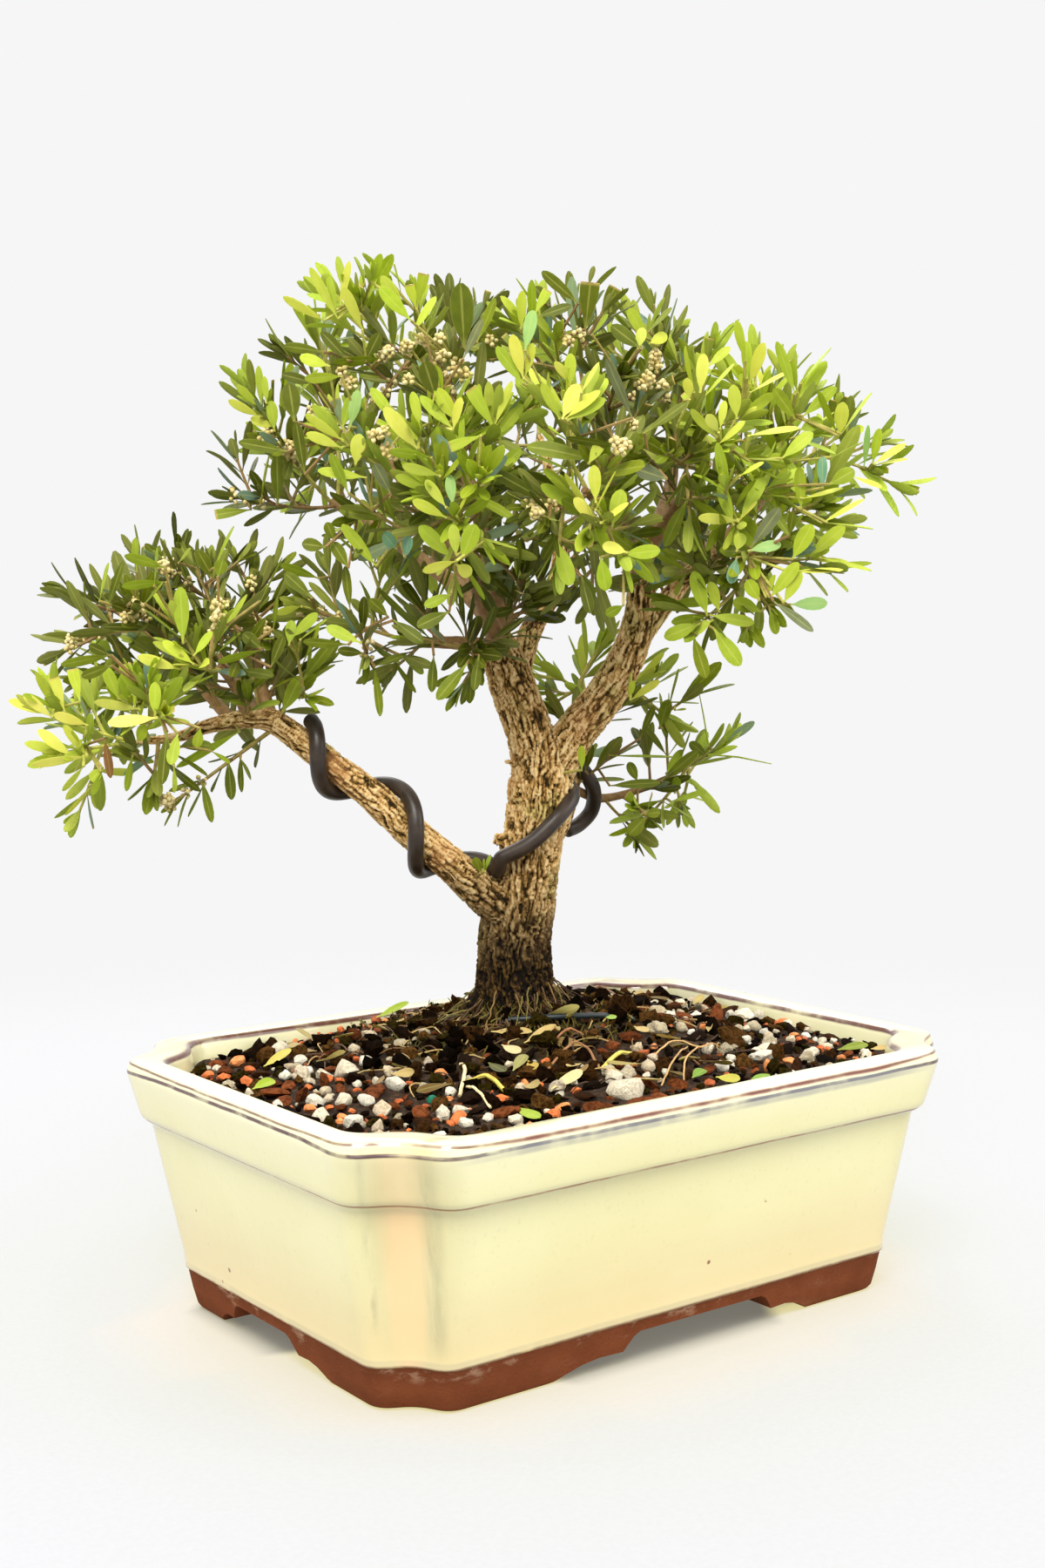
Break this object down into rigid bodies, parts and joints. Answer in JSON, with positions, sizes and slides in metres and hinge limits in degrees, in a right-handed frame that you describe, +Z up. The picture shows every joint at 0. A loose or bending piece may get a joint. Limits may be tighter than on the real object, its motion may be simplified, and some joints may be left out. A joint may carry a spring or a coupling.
{
  "type": "potted boxwood bonsai tree",
  "caption": "Small boxwood bonsai with a forked trunk, a wire-trained low side branch and pairs of blunt green leaves, in a cream glazed rectangular pot with scooped corners and arched feet.",
  "frame": {"origin": "middle of the bounding box's floor, at the height of the pot's feet", "axes": "+Z up, +X along the pot's long side, -Y towards the pot's front long side"},
  "size_m": [0.2528, 0.2054, 0.298],
  "materials": {
    "glaze": "glossy cream glaze, bare red-brown clay at the feet",
    "screen": "matt black",
    "soil": "loose dark potting mix of bark, pumice and clay bits",
    "bark": "rough, finely ridged tan bark",
    "training_wire": "satin dark brown coating",
    "tie_wire": "satin dark green-black coating",
    "leaf": "satin leathery leaves, yellow-green to dark olive"
  },
  "bodies": {
    "root": {"pot": "glaze", "drain_screen_left": "screen", "drain_screen_right": "screen", "soil": "soil", "trunk": "bark", "training_wire": "training_wire", "tie_wire": "tie_wire", "spray_crown_01": "leaf", "spray_crown_02": "leaf", "spray_crown_03": "leaf", "spray_crown_04": "leaf", "spray_crown_05": "leaf", "spray_crown_06": "leaf", "spray_crown_07": "leaf", "spray_crown_08": "leaf", "spray_crown_09": "leaf", "spray_crown_10": "leaf", "spray_crown_11": "leaf", "spray_crown_12": "leaf", "spray_crown_13": "leaf", "spray_crown_14": "leaf", "spray_crown_15": "leaf", "spray_crown_16": "leaf", "spray_crown_17": "leaf", "spray_crown_18": "leaf", "spray_crown_19": "leaf", "spray_crown_20": "leaf", "spray_crown_21": "leaf", "spray_crown_22": "leaf", "spray_crown_23": "leaf", "spray_crown_24": "leaf", "spray_crown_25": "leaf", "spray_crown_26": "leaf", "spray_crown_27": "leaf", "spray_crown_28": "leaf", "spray_crown_29": "leaf", "spray_crown_30": "leaf", "spray_crown_31": "leaf", "spray_crown_32": "leaf", "spray_rear_01": "leaf", "spray_rear_02": "leaf", "spray_rear_03": "leaf", "spray_rear_04": "leaf", "spray_rear_05": "leaf", "spray_rear_06": "leaf", "spray_rear_07": "leaf", "spray_pad_01": "leaf", "spray_pad_02": "leaf", "spray_pad_03": "leaf", "spray_pad_04": "leaf", "spray_pad_05": "leaf", "spray_pad_06": "leaf", "spray_pad_07": "leaf", "spray_pad_08": "leaf", "spray_pad_09": "leaf", "spray_pad_10": "leaf", "spray_pad_11": "leaf", "spray_back_01": "leaf", "spray_back_02": "leaf", "spray_back_03": "leaf"}
  },
  "joints": []
}
